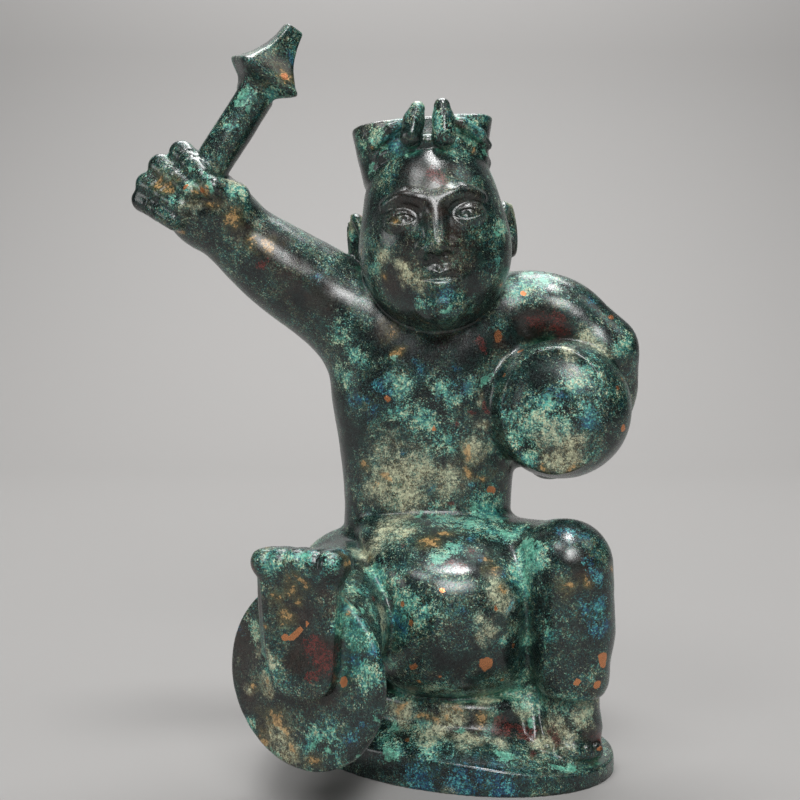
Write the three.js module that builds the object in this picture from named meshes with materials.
// Cast bronze figurine of a seated drummer: one casting with its drum, drumstick and base plate.
// Millimetres. +X is to the figure's left, +Y to its back, +Z up; the underside of the base is z = 0.
// Every form is a distance function; smooth joins fillet them together as cast metal does, and the
// zero surface of the whole is then meshed and thinned to the few triangles that carry it.
import * as THREE from "three";

// Base
const PLATE = { x: 18.9, y: -4.9, long: 60.2, wide: 43.5, turn: -37.8, thick: 10.3, edge: 1, drop: 4.7, fall: [10, 65] };
const SEAT = { x: 13, y: -5, long: 41, wide: 28.5, turn: -37.8, low: 18, top: 26, edge: 3.4 };

// Body
const TORSO_X = 10;
const WAIST_Z = 84;
const HIP = { radius: 22, right: [-16, 2, 56], left: [33, 0, 63] };

// Head
const HEAD = { centre: [11.6, -14, 183.5], tilt: 5 };
const EYE_OUT = 10.4;
const EYE_UP = 2;

// Drum and drumstick
const DRUM = { centre: [55.2, -18, 122], turn: -15, face: [18.3, 21.2], belly: [24.4, 24], half: 13 };
const STICK = { foot: [-69.2, -14, 200], along: [0.538, 0, 0.843], radius: 6.4, shaft: 37.5, head: 15 };

// Legs
const CUFF = { centre: [-27.3, -85, 47], yaw: 33, radius: 27.7, thick: 3.6 };
const SOLE = { origin: [-25.4, -86], yaw: 22, half: 11.8, low: 43, high: 85.2, deep: 10.5, thick: 6.4 };
const KNEE = [55.4, -36, 71.4];
const HEM_Z = 28;

// Mesh
const CELL = 1.25;
const TRIANGLES = 9600;
const LONGEST_EDGE = 9;

// Blend radii of the joins
const SOFT = 9;
const FILLET = 4;
const SEAM = 1.6;

const rad = THREE.MathUtils.degToRad;
const mix = (a, b, t) => a + (b - a) * t;
const clamp = (v, low, high) => Math.min(high, Math.max(low, v));
const unit = (v) => new THREE.Vector3(...v).normalize().toArray();
const along = (a, direction, length) => a.map((v, i) => v + direction[i] * length);
const size = (x, y, z = 0) => Math.sqrt(x * x + y * y + z * z);

// Round cone from a to b, with a ball of its own radius at each end.
function limb(a, ra, b, rb = ra) {
  const d = [b[0] - a[0], b[1] - a[1], b[2] - a[2]];
  const dd = d[0] * d[0] + d[1] * d[1] + d[2] * d[2];
  return (x, y, z) => {
    const px = x - a[0], py = y - a[1], pz = z - a[2];
    const t = clamp((px * d[0] + py * d[1] + pz * d[2]) / dd, 0, 1);
    return size(px - d[0] * t, py - d[1] * t, pz - d[2] * t) - mix(ra, rb, t);
  };
}

// A run of round cones through points that each carry a radius: [x, y, z, r].
function chain(points, blend = SEAM) {
  const parts = [];
  for (let i = 1; i < points.length; i++) {
    const [a, b] = [points[i - 1], points[i]];
    parts.push(limb(a.slice(0, 3), a[3], b.slice(0, 3), b[3]));
  }
  return join(blend, ...parts);
}

// The same on a smooth curve through the points, for long limbs.
function tube(points, pieces = 4) {
  const centres = new THREE.CatmullRomCurve3(points.map(([x, y, z]) => new THREE.Vector3(x, y, z)));
  const radii = points.map((p, i) => [i, p[3]]);
  const count = (points.length - 1) * pieces;
  const run = Array.from({ length: count + 1 }, (_, i) => [
    ...centres.getPoint(i / count).toArray(),
    smoothStation(radii, i / pieces)[0],
  ]);
  return chain(run, 0.2);
}

// Ellipsoid.
function egg(centre, radii) {
  const [a, b, c] = radii;
  return (x, y, z) => {
    const px = (x - centre[0]) / a, py = (y - centre[1]) / b, pz = (z - centre[2]) / c;
    const k0 = size(px, py, pz);
    const k1 = size(px / a, py / b, pz / c);
    return k1 < 1e-9 ? -Math.min(a, b, c) : (k0 * (k0 - 1)) / k1;
  };
}

// Widths and shifts at t, on a smooth curve through the stations.
function smoothStation(stations, t) {
  let i = 1;
  while (i < stations.length - 1 && t > stations[i][0]) i++;
  const [a, b] = [stations[i - 1], stations[i]];
  const before = stations[i - 2] ?? a;
  const after = stations[i + 1] ?? b;
  const width = b[0] - a[0];
  const s = clamp((t - a[0]) / width, 0, 1);
  return [1, 2, 3, 4].map((k) => {
    const [p, q] = [a[k] ?? 0, b[k] ?? 0];
    const m0 = ((q - (before[k] ?? 0)) / (b[0] - before[0])) * width;
    const m1 = (((after[k] ?? 0) - p) / (after[0] - a[0])) * width;
    const [s2, s3] = [s * s, s * s * s];
    return (2 * s3 - 3 * s2 + 1) * p + (s3 - 2 * s2 + s) * m0 + (3 * s2 - 2 * s3) * q + (s3 - s2) * m1;
  });
}

// Body of changing section along an axis. Stations are [t, half-width, half-depth, shift-u, shift-v];
// power 2 gives ellipses and higher powers squarer sections. The ends are flat with rounded edges.
function loft({ origin, axis, side, stations, power = 2, edge = 1 }) {
  const w = unit(axis);
  const u = unit(side);
  const v = [w[1] * u[2] - w[2] * u[1], w[2] * u[0] - w[0] * u[2], w[0] * u[1] - w[1] * u[0]];
  const first = stations[0][0];
  const last = stations[stations.length - 1][0];
  const steps = stations.length > 2 ? 60 : 1;
  const table = Array.from({ length: steps + 1 }, (_, i) => smoothStation(stations, mix(first, last, i / steps)));
  return (x, y, z) => {
    const px = x - origin[0], py = y - origin[1], pz = z - origin[2];
    const t = px * w[0] + py * w[1] + pz * w[2];
    const at = clamp((t - first) / (last - first), 0, 1) * steps;
    const i = Math.min(Math.floor(at), steps - 1);
    const [a, b, s] = [table[i], table[i + 1], at - i];
    const ru = mix(a[0], b[0], s);
    const rv = mix(a[1], b[1], s);
    const pu = Math.abs(px * u[0] + py * u[1] + pz * u[2] - mix(a[2], b[2], s)) / ru;
    const pv = Math.abs(px * v[0] + py * v[1] + pz * v[2] - mix(a[3], b[3], s)) / rv;
    const round = power === 2 ? size(pu, pv) : (pu ** power + pv ** power) ** (1 / power);
    const radial = (round - 1) * Math.min(ru, rv) + edge;
    const axial = Math.max(first - t, t - last) + edge;
    return Math.min(Math.max(radial, axial), 0) + size(Math.max(radial, 0), Math.max(axial, 0)) - edge;
  };
}

// Upright oval disc with rounded edges, turned about z.
function oval({ x, y, long, wide, turn, edge }, low, high) {
  const side = [Math.cos(rad(turn)), Math.sin(rad(turn)), 0];
  const stations = [[low, long, wide], [high, long, wide]];
  return loft({ origin: [x, y, 0], axis: [0, 0, 1], side, stations, edge });
}

// Smooth union: where two forms come within the blend radius they fillet.
function join(blend, ...shapes) {
  return (x, y, z) => {
    let d = shapes[0](x, y, z);
    for (let i = 1; i < shapes.length; i++) {
      const e = shapes[i](x, y, z);
      const h = Math.max(blend - Math.abs(d - e), 0) / blend;
      d = Math.min(d, e) - (h * h * blend) / 4;
    }
    return d;
  };
}

// Smooth cut of one form out of another.
function carve(blend, body, tool) {
  return (x, y, z) => {
    const d = body(x, y, z);
    const e = -tool(x, y, z);
    const h = Math.max(blend - Math.abs(d - e), 0) / blend;
    return Math.max(d, e) + (h * h * blend) / 4;
  };
}

// A form drawn in a frame of its own: turned by a rotation, then moved to a place.
function placed(shape, place, rotation) {
  const m = new THREE.Matrix4().makeRotationFromEuler(rotation).transpose().elements;
  return (x, y, z) => {
    const px = x - place[0], py = y - place[1], pz = z - place[2];
    return shape(
      m[0] * px + m[4] * py + m[8] * pz,
      m[1] * px + m[5] * py + m[9] * pz,
      m[2] * px + m[6] * py + m[10] * pz,
    );
  };
}

// A form that lies inside a box. Points well away from the box take the distance to it instead.
function bounded(low, high, shape) {
  const away = 14;
  return (x, y, z) => {
    const d = size(
      Math.max(low[0] - x, 0, x - high[0]),
      Math.max(low[1] - y, 0, y - high[1]),
      Math.max(low[2] - z, 0, z - high[2]),
    );
    return d > away ? d : shape(x, y, z);
  };
}

// The same form on both sides of the local plane x = 0.
const bothSides = (shape) => (x, y, z) => shape(Math.abs(x), y, z);

// The plate's top rises as a mound to the seat, and falls away towards the figure's left.
function baseAndSeat() {
  const { x, y, long, wide, turn, thick, drop, fall } = PLATE;
  const plate = oval(PLATE, -thick, thick);
  const rise = [[-thick, 1.4], [thick - 0.7, 1.4], [thick + 2.2, 6], [thick + 4.7, 12], [thick + 7.7, 18]];
  const mound = loft({
    origin: [x - 2.5, y, 0],
    axis: [0, 0, 1],
    side: [Math.cos(rad(turn)), Math.sin(rad(turn)), 0],
    edge: 1.4,
    stations: rise.map(([z, inset]) => [z, long - inset, wide - inset * 0.9]),
  });
  const level = join(0.6, plate, mound);
  const falling = (px, py, pz) => {
    const s = clamp((px - fall[0]) / (fall[1] - fall[0]), 0, 1);
    return level(px, py, pz + drop * s * s * (3 - 2 * s));
  };
  return join(4, falling, oval(SEAT, SEAT.low - 6, SEAT.top));
}

function torso() {
  const trunk = loft({
    origin: [TORSO_X, 1, 0],
    axis: [0, 0, 1],
    side: [1, 0, 0],
    power: 2.4,
    edge: 9,
    stations: [
      [70, 31, 22], [WAIST_Z, 30, 20.5], [94, 30.3, 21], [108, 31.8, 22],
      [126, 34.5, 23], [144, 37, 22.5, 1], [158, 36, 19, 1], [168, 30, 16, 2],
    ],
  });
  const neck = limb([12, -1, 156], 17, [13, -6, 172], 15);
  return join(SOFT, trunk, neck);
}

function headAndCap() {
  const skull = egg([0, 0, 4], [24, 29, 31]);
  const cheeks = egg([0, -3, -8], [26.2, 24.5, 23]);
  const jaw = egg([0, -6, -18], [20, 20, 16]);
  let head = join(6, skull, cheeks, jaw);

  const sockets = bothSides(egg([EYE_OUT - 0.4, -31, EYE_UP + 1.2], [7, 5, 4.6]));
  head = carve(4, head, sockets);
  const eyes = bothSides(egg([EYE_OUT, -22.6, EYE_UP], [5.6, 3.8, 3.6]));
  const brows = bothSides(chain([[3.4, -26.8, 7.2, 1.6], [9.5, -26.2, 9.4, 1.6], [16, -21.8, 8, 1.3]], 1));
  head = join(1.4, head, eyes);
  head = join(3, head, brows);

  const bridge = limb([0, -26.2, 6.5], 2.3, [0, -30.8, -7.4], 3.3);
  const wings = bothSides(egg([3.9, -28.4, -8.4], [2.3, 2.8, 2.3]));
  head = join(3, head, join(2, bridge, wings));
  const upperLip = bothSides(chain([[0, -27.3, -16.2, 1.7], [4.2, -26.7, -16.1, 1.6], [8.4, -24.4, -17.3, 0.9]], 1));
  const lowerLip = bothSides(chain([[0, -26.9, -20, 2], [4.2, -26.2, -19.7, 1.7], [7.6, -24.6, -18.2, 0.9]], 1));
  head = join(1.6, head, upperLip, lowerLip);
  const chin = egg([0, -21.5, -27.4], [7.5, 5.8, 5.6]);
  head = join(5, head, chin);

  const ears = bothSides(placed(egg([0, 0, 0], [3, 6, 10]), [26.2, 12, -0.5], new THREE.Euler(0, 0, rad(-24))));
  const hollow = bothSides(egg([28.2, 6.6, -0.5], [2.2, 3, 6]));
  head = join(2, head, carve(1.2, ears, hollow));

  // Cloth cap: a rolled band along the hairline, and a crown folded to a corner over each ear.
  const crown = loft({
    origin: [-0.5, 0, 0],
    axis: [0, 0, 1],
    side: [1, 0, 0],
    power: 3.2,
    edge: 1.4,
    stations: [[17, 21.4, 20.5, -0.4, 5], [23, 22.2, 19.5, -0.6, 4], [30, 23.2, 18.5, -0.7, 3],
      [37.4, 24.6, 16.5, -0.2, 3]],
  });
  const dip = limb([-30, -2, 75.4], 37, [30, -2, 75.4]);
  const hem = [];
  for (let i = -10; i <= 10; i++) {
    const a = (i / 10) * Math.PI;
    const z = 22 + 5.6 * Math.cos(a);
    const k = Math.sqrt(1 - ((z - 4) / 31) ** 2);
    hem.push([24 * k * Math.sin(a) - 0.3, -30 * k * Math.cos(a), z, 2.4]);
  }
  const fold = chain([[-7, -18.5, 34.5, 1.6], [-12, -17.5, 33, 1.8], [-17.6, -14, 29.5, 1.8], [-20.6, -8, 26.5, 1.4]], 1);
  const folds = (x, y, z) => fold(-Math.abs(x), y, z);
  const cap = join(0.9, carve(1.5, crown, dip), chain(hem, 1), folds);
  const knots = join(
    0.8,
    chain([[-5.6, -22.4, 29.3, 3.7], [-4, -22, 34.5, 3.4], [-2.5, -21.6, 38.3, 2.5]], 1),
    chain([[5.4, -22.4, 28.6, 3.9], [5.5, -22, 34, 3.6], [5.5, -21.6, 38.4, 2.7]], 1),
  );
  head = join(0.9, head, cap);
  head = join(1, head, knots);
  return placed(head, HEAD.centre, new THREE.Euler(0, rad(-HEAD.tilt), 0));
}

// The raised right arm with its fist, palm side to the front, and the stick that it holds.
function rightArmAndStick() {
  const arm = tube([[-12, 2, 153, 17], [-27, 0, 162, 17], [-43.4, -4, 172.4, 15.3], [-60, -8, 185, 12], [-66, -9, 189, 11.8]]);
  const palm = join(5, limb([-62, -9, 190], 11, [-78, -8, 196], 8), limb([-66, -9, 198], 8, [-76, -8, 204], 5));
  const fingers = [
    chain([[-72, -3, 208.4, 4], [-75.6, -13, 210.6, 4.3], [-67.2, -22, 201, 3.7]], 1),
    chain([[-78, -2, 204, 4], [-83, -12, 206, 4.4], [-70.6, -23, 195.4, 3.6]], 1),
    chain([[-83, -2, 198, 4], [-88, -11, 200.2, 4], [-74, -22, 190.8, 3.3]], 1),
    chain([[-85, -3, 192, 4], [-89.6, -9, 195.2, 4.2], [-77.2, -20, 186.4, 3.2]], 1),
  ];
  const heel = limb([-60, -15, 190], 8, [-72, -13, 190], 8);
  const thumb = chain([[-61, -13, 189.6, 7], [-57.4, -17.6, 194.4, 5.7], [-63, -23.6, 197.2, 4.1]], 2);
  const fist = join(1.9, join(5, palm, heel), ...fingers, thumb);

  const [ax, ay, az] = STICK.along;
  const stick = loft({
    origin: STICK.foot,
    axis: STICK.along,
    side: [az, ay, -ax],
    edge: 1.2,
    stations: [[0, STICK.radius, STICK.radius], [STICK.shaft, STICK.radius, STICK.radius]],
  });
  // Four-sided head: a short flare up to a sharp rim, then a hollow taper to a blunt tip.
  const s = STICK.shaft;
  const wide = STICK.head / Math.SQRT2 / Math.cos(rad(20));
  const spear = loft({
    origin: along(STICK.foot, [-1, 0, 0.5], 1),
    axis: STICK.along,
    side: [az * Math.cos(rad(25)), Math.sin(rad(25)), -ax * Math.cos(rad(25))],
    power: 9,
    edge: 0.4,
    stations: [[s - 3, 5, 5], [s + 1, 6.6, 6.6], [s + 5.5, wide, wide], [s + 8, wide * 0.84, wide * 0.84],
      [s + 13, wide * 0.55, wide * 0.55], [s + 19, wide * 0.36, wide * 0.36], [s + 25, wide * 0.27, wide * 0.27]],
  });
  return join(1.2, join(SOFT - 3, arm, fist), join(1.2, stick, spear));
}

// The left arm goes over the drum and holds it against the flank.
function leftArmAndDrum() {
  const upper = tube([[30, 2, 154, 14], [44, -1, 157.5, 13.4], [57.4, -5, 155.2, 12.8], [71.8, -7, 142.6, 11.4]]);
  const fore = tube([[71.8, -7, 142.6, 11.4], [74.4, -2, 127, 10.2], [68, 3, 112, 9], [54, 4, 104, 8.4]]);
  const hand = limb([60, 3, 106], 8.5, [46, 2, 108], 6.5);
  const { turn, face, belly, half } = DRUM;
  const forward = [Math.sin(rad(turn)), -Math.cos(rad(turn)), 0];
  const drum = loft({
    origin: DRUM.centre,
    axis: forward,
    side: [-forward[1], forward[0], 0],
    edge: 1.8,
    stations: [[-half, ...face], [-half * 0.5, belly[0] * 0.95, belly[1] * 0.95], [0, ...belly],
      [half * 0.55, belly[0] * 0.94, belly[1] * 0.95], [half, ...face]],
  });
  const dome = egg([0, 0, 0], [face[0] - 1.5, 4, face[1] - 1.5]);
  const skin = placed(dome, along(DRUM.centre, forward, half - 2), new THREE.Euler(0, 0, rad(turn)));
  const web = egg([47, -2, 122], [17, 9, 21]);
  return join(SEAM, join(5, upper, join(4, fore, hand, web)), join(1, drum, skin));
}

function hipsAndLap() {
  const hips = join(SOFT, limb(HIP.right, HIP.radius, HIP.left, 20.5), egg([9, 9, 50], [40, 28, 27]));
  const lap = loft({
    origin: [17.5, -20, 0],
    axis: [0, 0, 1],
    side: [1, 0, 0],
    power: 2.25,
    edge: 9,
    stations: [
      [25, 22, 19, 0, 1], [36, 25.5, 26, 0, -1.5], [48, 26.5, 29, 0, -3], [60, 27, 29, 0, -3.4],
      [70, 28, 27.5, -1, -1.6], [78, 29, 23, -3, 4], [86, 28, 17, -5.5, 11.5],
    ],
  });
  return join(FILLET, hips, lap, egg([40, -18, 42], [17, 17, 22]));
}

// The raised right leg: it comes to the front and ends in a wide flared cuff with the sole turned out.
function rightLeg() {
  const out = [-Math.sin(rad(CUFF.yaw)), -Math.cos(rad(CUFF.yaw)), 0];
  const across = [-out[1], out[0], 0];
  const leg = tube([[...HIP.right, 21.5], [-19.5, -24, 54, 20], [-22.5, -50, 51, 17.6], [-24.6, -70, 48.6, 15.6]]);
  const cuff = loft({
    origin: CUFF.centre,
    axis: out,
    side: across,
    edge: 1.5,
    stations: [[-CUFF.thick / 2, CUFF.radius, CUFF.radius], [CUFF.thick / 2, CUFF.radius, CUFF.radius]],
  });
  // Point on the foot: across the sole, out from the cuff, and height.
  const { origin, yaw, half, low, high, deep, thick } = SOLE;
  const [s, c] = [Math.sin(rad(yaw)), Math.cos(rad(yaw))];
  const at = (u, w, z) => [origin[0] + c * u - s * w, origin[1] - s * u - c * w, z];
  const foot = loft({
    origin: at(0, deep - thick / 2, 0),
    axis: [0, 0, 1],
    side: [c, -s, 0],
    power: 6,
    edge: 1.6,
    stations: [[low, half * 0.4, thick / 2, 1.5], [low + 1.6, half * 0.58, thick / 2, 1.5],
      [low + 3.4, half * 0.7, thick / 2, 1.3], [low + 8, half * 0.86, thick / 2, 0.7],
      [low + 17, half * 0.95, thick / 2, 0.2], [low + 30, half * 1.03, thick / 2],
      [high - 5, half * 1.06, thick / 2 + 0.5], [high, half * 1.08, thick / 2 + 0.5]],
  });
  const back = loft({
    origin: at(-3, 2.4, 0),
    axis: [0, 0, 1],
    side: [c, -s, 0],
    edge: 2,
    power: 3,
    stations: [[low + 9, half - 1, 4], [low + 24, half - 0.6, 4], [high - 3, half - 0.4, 4]],
  });
  const instep = join(3, limb(at(0, -2, 50), 10, at(0, 1, 74), 7), back);
  const ball = limb(at(-9.4, deep - 2.4, high - 5.6), 3.2, at(9.6, deep - 2.4, high - 5.6), 3.4);
  const toes = [[-11, 3.4, -0.9], [-5.5, 3.2, -0.2], [-0.1, 3.2, 0], [5.2, 3.3, 0], [10.8, 3.7, -0.3]].map(([u, r, lift]) =>
    limb(at(u * 0.96, 3, high - 3.4 + lift), r, at(u, deep - 0.6, high - 3.1 + lift), r + 0.2));
  return join(SEAM, join(FILLET + 3, leg, cuff), join(2, join(3, foot, instep), ball, join(1.4, ...toes)));
}

// The bent left leg: the knee comes up beside the lap and the foot stands on the base.
function leftLeg() {
  const thigh = limb(HIP.left, 20, KNEE, 13.8);
  const shin = loft({
    origin: [KNEE[0], KNEE[1], 0],
    axis: [0, 0, 1],
    side: [1, 0, 0],
    power: 2.3,
    edge: 2,
    stations: [[HEM_Z, 10, 11, 1.8, 0], [HEM_Z + 5, 12.2, 13, 1.6, 0], [42, 12.8, 13.4, 1.2, 0],
      [54, 13.4, 13.6, 0.8, 0], [66, 12.4, 12.6, 0.4, 0]],
  });
  const ankle = limb([57.4, -30, 36], 9.6, [56.8, -31, 16], 10.8);
  const foot = limb([57, -31, 15], 11, [56.6, -35.4, 10.4], 8);
  const toes = [[48.4, -39.6, 3.6], [53, -40.8, 3.1], [57.3, -40.8, 3], [61.3, -39.8, 2.9], [64.8, -37.8, 2.7]].map(
    ([x, y, r]) => limb([x * 0.94 + 3.4, y + 7, 12.6], r, [x, y, 9.4], r));
  const drape = chain([[43, -24, 34, 3], [44.4, -32, 22, 2.6], [45, -40, 9, 1.8]], 2);
  const standing = join(2, ankle, foot, join(1, ...toes), drape);
  return join(SEAM, join(5, thigh, shin, limb(KNEE, 13.8, [58, -35, 50], 12.8)), standing);
}

function figure() {
  const seated = join(FILLET, hipsAndLap(), bounded([30, -56, 5], [78, 22, 90], leftLeg()));
  const lower = join(3, seated, bounded([-56, -106, 18], [8, 26, 94], rightLeg()));
  const body = join(2.5, torso(), lower);
  const armed = join(SOFT, body, bounded([-98, -30, 135], [4, 22, 262], rightArmAndStick()));
  const whole = join(FILLET, armed, bounded([14, -36, 88], [90, 18, 174], leftArmAndDrum()));
  const head = bounded([-24, -52, 144], [46, 22, 228], headAndCap());
  return join(2.2, join(SEAM, whole, head), baseAndSeat());
}

// Corners of a grid cell are numbered by bits: x is 1, y is 2 and z is 4.
const CELL_FACES = [[0, 1, 3, 2], [4, 5, 7, 6], [0, 1, 5, 4], [2, 3, 7, 6], [0, 2, 6, 4], [1, 3, 7, 5]];
const CELL_DIAGONALS = [[0, 7], [1, 6], [2, 5], [3, 4]];

// Where a cell, or a face of one, is inside only at opposite corners, two sheets of surface would
// meet in a point or along an edge. The outside corner nearest the surface is filled there.
function fillPinches(value, n, step, cell) {
  const offsets = Array.from({ length: 8 }, (_, c) => (c & 1) * step[0] + ((c >> 1) & 1) * step[1] + (c >> 2) * step[2]);
  const everyCorner = offsets.map((_, c) => c);
  let filled = true;
  while (filled) {
    filled = false;
    for (let k = 0; k < n[2] - 1; k++)
      for (let j = 0; j < n[1] - 1; j++)
        for (let i = 0; i < n[0] - 1; i++) {
          const at = i + j * step[1] + k * step[2];
          let inside = 0;
          for (let c = 0; c < 8; c++) if (value[at + offsets[c]] < 0) inside |= 1 << c;
          if (inside === 0 || inside === 255) continue;
          const isIn = (c) => (inside >> c) & 1;
          const pinched =
            CELL_FACES.find(([a, b, c, d]) => isIn(a) === isIn(c) && isIn(b) === isIn(d) && isIn(a) !== isIn(b)) ??
            (CELL_DIAGONALS.some(([a, b]) => [(1 << a) | (1 << b), 255 - (1 << a) - (1 << b)].includes(inside)) && everyCorner);
          if (!pinched) continue;
          const open = pinched.filter((c) => !isIn(c)).map((c) => at + offsets[c]);
          value[open.reduce((best, c) => (value[c] < value[best] ? c : best))] = -0.05 * cell;
          filled = true;
        }
  }
}

// Zero surface of a distance function, by surface nets: a vertex in each cell that the surface
// crosses, a quad across each grid edge that it crosses, then each vertex is drawn onto the surface.
function surfaceNet(field, low, high, cell) {
  const n = low.map((v, i) => Math.ceil((high[i] - v) / cell) + 1);
  const index = (i, j, k) => i + n[0] * (j + n[1] * k);
  const value = new Float32Array(n[0] * n[1] * n[2]).fill(cell);
  const block = 4;
  const reach = block * cell * 1.4;
  for (let k = 0; k < n[2]; k += block)
    for (let j = 0; j < n[1]; j += block)
      for (let i = 0; i < n[0]; i += block) {
        const middle = [i, j, k].map((v, axis) => low[axis] + (v + block / 2) * cell);
        const d = field(...middle);
        const far = Math.abs(d) > reach;
        for (let c = k; c < Math.min(k + block, n[2]); c++)
          for (let b = j; b < Math.min(j + block, n[1]); b++)
            for (let a = i; a < Math.min(i + block, n[0]); a++)
              value[index(a, b, c)] = far ? d : field(low[0] + a * cell, low[1] + b * cell, low[2] + c * cell);
      }

  const step = [1, n[0], n[0] * n[1]];
  fillPinches(value, n, step, cell);
  const vertexOf = new Int32Array(value.length).fill(-1);
  const points = [];
  for (let k = 0; k < n[2] - 1; k++)
    for (let j = 0; j < n[1] - 1; j++)
      for (let i = 0; i < n[0] - 1; i++) {
        const sum = [0, 0, 0];
        let crossings = 0;
        for (let axis = 0; axis < 3; axis++)
          for (let side = 0; side < 4; side++) {
            const corner = [0, 0, 0];
            corner[(axis + 1) % 3] = side & 1;
            corner[(axis + 2) % 3] = side >> 1;
            const at = index(i + corner[0], j + corner[1], k + corner[2]);
            const [p, q] = [value[at], value[at + step[axis]]];
            if (p < 0 === q < 0) continue;
            corner[axis] += p / (p - q);
            corner.forEach((c, a) => (sum[a] += c));
            crossings++;
          }
        if (!crossings) continue;
        vertexOf[index(i, j, k)] = points.length / 3;
        points.push(...[i, j, k].map((v, a) => low[a] + (v + sum[a] / crossings) * cell));
      }

  const h = 0.05;
  for (let v = 0; v < points.length; v += 3)
    for (let pass = 0; pass < 2; pass++) {
      const [x, y, z] = points.slice(v, v + 3);
      const g = [
        field(x + h, y, z) - field(x - h, y, z),
        field(x, y + h, z) - field(x, y - h, z),
        field(x, y, z + h) - field(x, y, z - h),
      ].map((s) => s / (2 * h));
      const shift = clamp(field(x, y, z) / Math.max(g[0] ** 2 + g[1] ** 2 + g[2] ** 2, 0.1), -cell / 2, cell / 2);
      for (let a = 0; a < 3; a++) points[v + a] -= g[a] * shift;
    }

  const faces = [];
  for (let k = 1; k < n[2] - 1; k++)
    for (let j = 1; j < n[1] - 1; j++)
      for (let i = 1; i < n[0] - 1; i++)
        for (let axis = 0; axis < 3; axis++) {
          const at = index(i, j, k);
          const inside = value[at] < 0;
          if (inside === value[at + step[axis]] < 0) continue;
          const [u, v] = [step[(axis + 1) % 3], step[(axis + 2) % 3]];
          const ring = [at, at - u, at - u - v, at - v].map((c) => vertexOf[c]);
          if (!inside) ring.reverse();
          faces.push([ring[0], ring[1], ring[2]], [ring[0], ring[2], ring[3]]);
        }
  return { points, faces };
}

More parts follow.
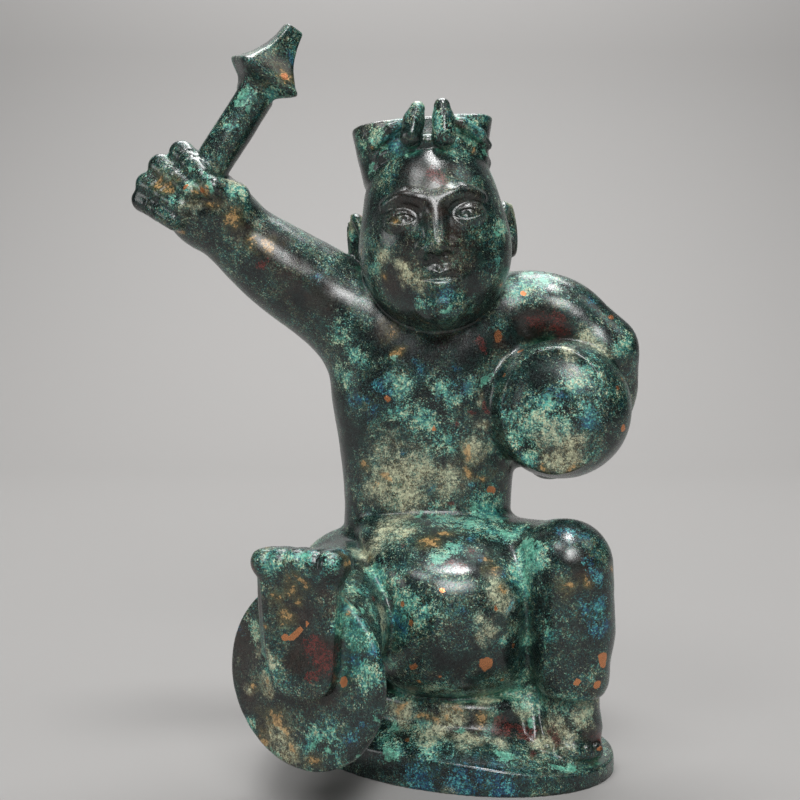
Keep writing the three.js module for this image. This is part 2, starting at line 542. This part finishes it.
// Thins a closed mesh by edge collapses, cheapest first, each to the point of least quadric error.
function thin({ points, faces }, target, longest) {
  const count = points.length / 3;
  const quadric = new Float64Array(count * 10);
  const around = Array.from({ length: count }, () => new Set());
  const alive = new Uint8Array(faces.length).fill(1);
  const stamp = new Uint32Array(count);
  const gone = new Uint8Array(count);
  const p = (v) => [points[3 * v], points[3 * v + 1], points[3 * v + 2]];

  const normal = (a, b, c) => {
    const ux = b[0] - a[0], uy = b[1] - a[1], uz = b[2] - a[2];
    const vx = c[0] - a[0], vy = c[1] - a[1], vz = c[2] - a[2];
    return [uy * vz - uz * vy, uz * vx - ux * vz, ux * vy - uy * vx];
  };
  faces.forEach((f, id) => {
    const n = normal(p(f[0]), p(f[1]), p(f[2]));
    const size = Math.hypot(...n) || 1e-12;
    const [a, b, c] = n.map((v) => v / size);
    const d = -(a * points[3 * f[0]] + b * points[3 * f[0] + 1] + c * points[3 * f[0] + 2]);
    const q = [a * a, a * b, a * c, a * d, b * b, b * c, b * d, c * c, c * d, d * d];
    for (const v of f) {
      around[v].add(id);
      for (let i = 0; i < 10; i++) quadric[10 * v + i] += q[i] * size;
    }
  });

  const heap = [];
  const swap = (i, j) => ([heap[i], heap[j]] = [heap[j], heap[i]]);
  const push = (item) => {
    let i = heap.push(item) - 1;
    while (i > 0 && heap[(i - 1) >> 1].cost > heap[i].cost) {
      swap(i, (i - 1) >> 1);
      i = (i - 1) >> 1;
    }
  };
  const pop = () => {
    const top = heap[0];
    const last = heap.pop();
    if (heap.length) {
      heap[0] = last;
      for (let i = 0; ; ) {
        let least = i;
        for (const c of [2 * i + 1, 2 * i + 2]) if (c < heap.length && heap[c].cost < heap[least].cost) least = c;
        if (least === i) break;
        swap(i, least);
        i = least;
      }
    }
    return top;
  };

  const errorAt = (q, [x, y, z]) =>
    q[0] * x * x + 2 * q[1] * x * y + 2 * q[2] * x * z + 2 * q[3] * x + q[4] * y * y +
    2 * q[5] * y * z + 2 * q[6] * y + q[7] * z * z + 2 * q[8] * z + q[9];
  const propose = (a, b) => {
    const q = new Float64Array(10);
    for (let i = 0; i < 10; i++) q[i] = quadric[10 * a + i] + quadric[10 * b + i];
    const [pa, pb] = [p(a), p(b)];
    const length = Math.hypot(pa[0] - pb[0], pa[1] - pb[1], pa[2] - pb[2]);
    const middle = pa.map((v, i) => (v + pb[i]) / 2);
    const m = new THREE.Matrix3().set(q[0], q[1], q[2], q[1], q[4], q[5], q[2], q[5], q[7]);
    const choices = [pa, pb, middle];
    const trace = q[0] + q[4] + q[7];
    if (Math.abs(m.determinant()) > 1e-5 * trace ** 3) {
      const best = new THREE.Vector3(-q[3], -q[6], -q[8]).applyMatrix3(m.invert()).toArray();
      if (Math.hypot(...best.map((v, i) => v - middle[i])) < length) choices.push(best);
    }
    let place = middle;
    let cost = Infinity;
    for (const c of choices) {
      const e = errorAt(q, c);
      if (e < cost) [place, cost] = [c, e];
    }
    const over = Math.max(0, length - longest * 0.6);
    push({ a, b, sa: stamp[a], sb: stamp[b], place, cost: cost + 1e-3 * length * length + over * over });
  };

  const neighbours = (v) => {
    const set = new Set();
    for (const id of around[v]) for (const w of faces[id]) if (w !== v) set.add(w);
    return set;
  };
  const folds = (v, other, place) => {
    for (const id of around[v]) {
      const f = faces[id];
      if (f.includes(other)) continue;
      const before = normal(...f.map(p));
      const after = normal(...f.map((w) => (w === v ? place : p(w))));
      const dot = before[0] * after[0] + before[1] * after[1] + before[2] * after[2];
      if (dot < 0.25 * Math.hypot(...before) * Math.hypot(...after)) return true;
    }
    return false;
  };

  const seen = new Set();
  for (const f of faces)
    for (const [a, b] of [[f[0], f[1]], [f[1], f[2]], [f[2], f[0]]]) {
      const key = Math.min(a, b) * count + Math.max(a, b);
      if (!seen.has(key)) {
        seen.add(key);
        propose(a, b);
      }
    }

  let left = faces.length;
  while (left > target && heap.length) {
    const { a, b, sa, sb, place } = pop();
    if (gone[a] || gone[b] || stamp[a] !== sa || stamp[b] !== sb) continue;
    const [na, nb] = [neighbours(a), neighbours(b)];
    let shared = 0;
    for (const w of na) if (nb.has(w)) shared++;
    if (shared !== 2 || folds(a, b, place) || folds(b, a, place)) continue;
    points.splice(3 * a, 3, ...place);
    for (let i = 0; i < 10; i++) quadric[10 * a + i] += quadric[10 * b + i];
    for (const id of around[b]) {
      const f = faces[id];
      if (f.includes(a)) {
        alive[id] = 0;
        left--;
        for (const w of f) if (w !== b) around[w].delete(id);
      } else {
        f[f.indexOf(b)] = a;
        around[a].add(id);
      }
    }
    gone[b] = 1;
    stamp[a]++;
    for (const w of neighbours(a)) propose(a, w);
  }
  return { points, faces: faces.filter((_, id) => alive[id]) };
}

// The meshed casting, with its underside flat on z = 0.
function casting() {
  const whole = figure();
  const trimmed = (x, y, z) => Math.max(whole(x, y, z), -z);
  const net = surfaceNet(trimmed, [-100, -112, -3.1], [96, 54, 262], CELL);
  const { points, faces } = thin(net, TRIANGLES, LONGEST_EDGE);
  const used = new Map();
  const kept = [];
  const triangles = faces.flat().map((v) => {
    if (!used.has(v)) {
      used.set(v, kept.length / 3);
      const [x, y, z] = points.slice(3 * v, 3 * v + 3);
      kept.push(x, y, z < CELL / 2 ? 0 : z);
    }
    return used.get(v);
  });
  const geometry = new THREE.BufferGeometry()
    .setAttribute("position", new THREE.Float32BufferAttribute(kept, 3))
    .setIndex(triangles);
  geometry.computeVertexNormals();
  return geometry;
}

const bronze = new THREE.MeshStandardMaterial({ color: 0x2c3a34, roughness: 0.45, metalness: 0.6 });
const drummer = new THREE.Mesh(casting(), bronze);
drummer.name = "drummer_casting";
const part = new THREE.Group();
part.name = "seated_drummer";
part.add(drummer);

// The middle of the bounding box's underside is the origin.
const box = new THREE.Box3().setFromObject(part);
const middle = box.getCenter(new THREE.Vector3());
part.position.set(-middle.x, -middle.y, -box.min.z);
part.updateMatrixWorld(true);

export default part;
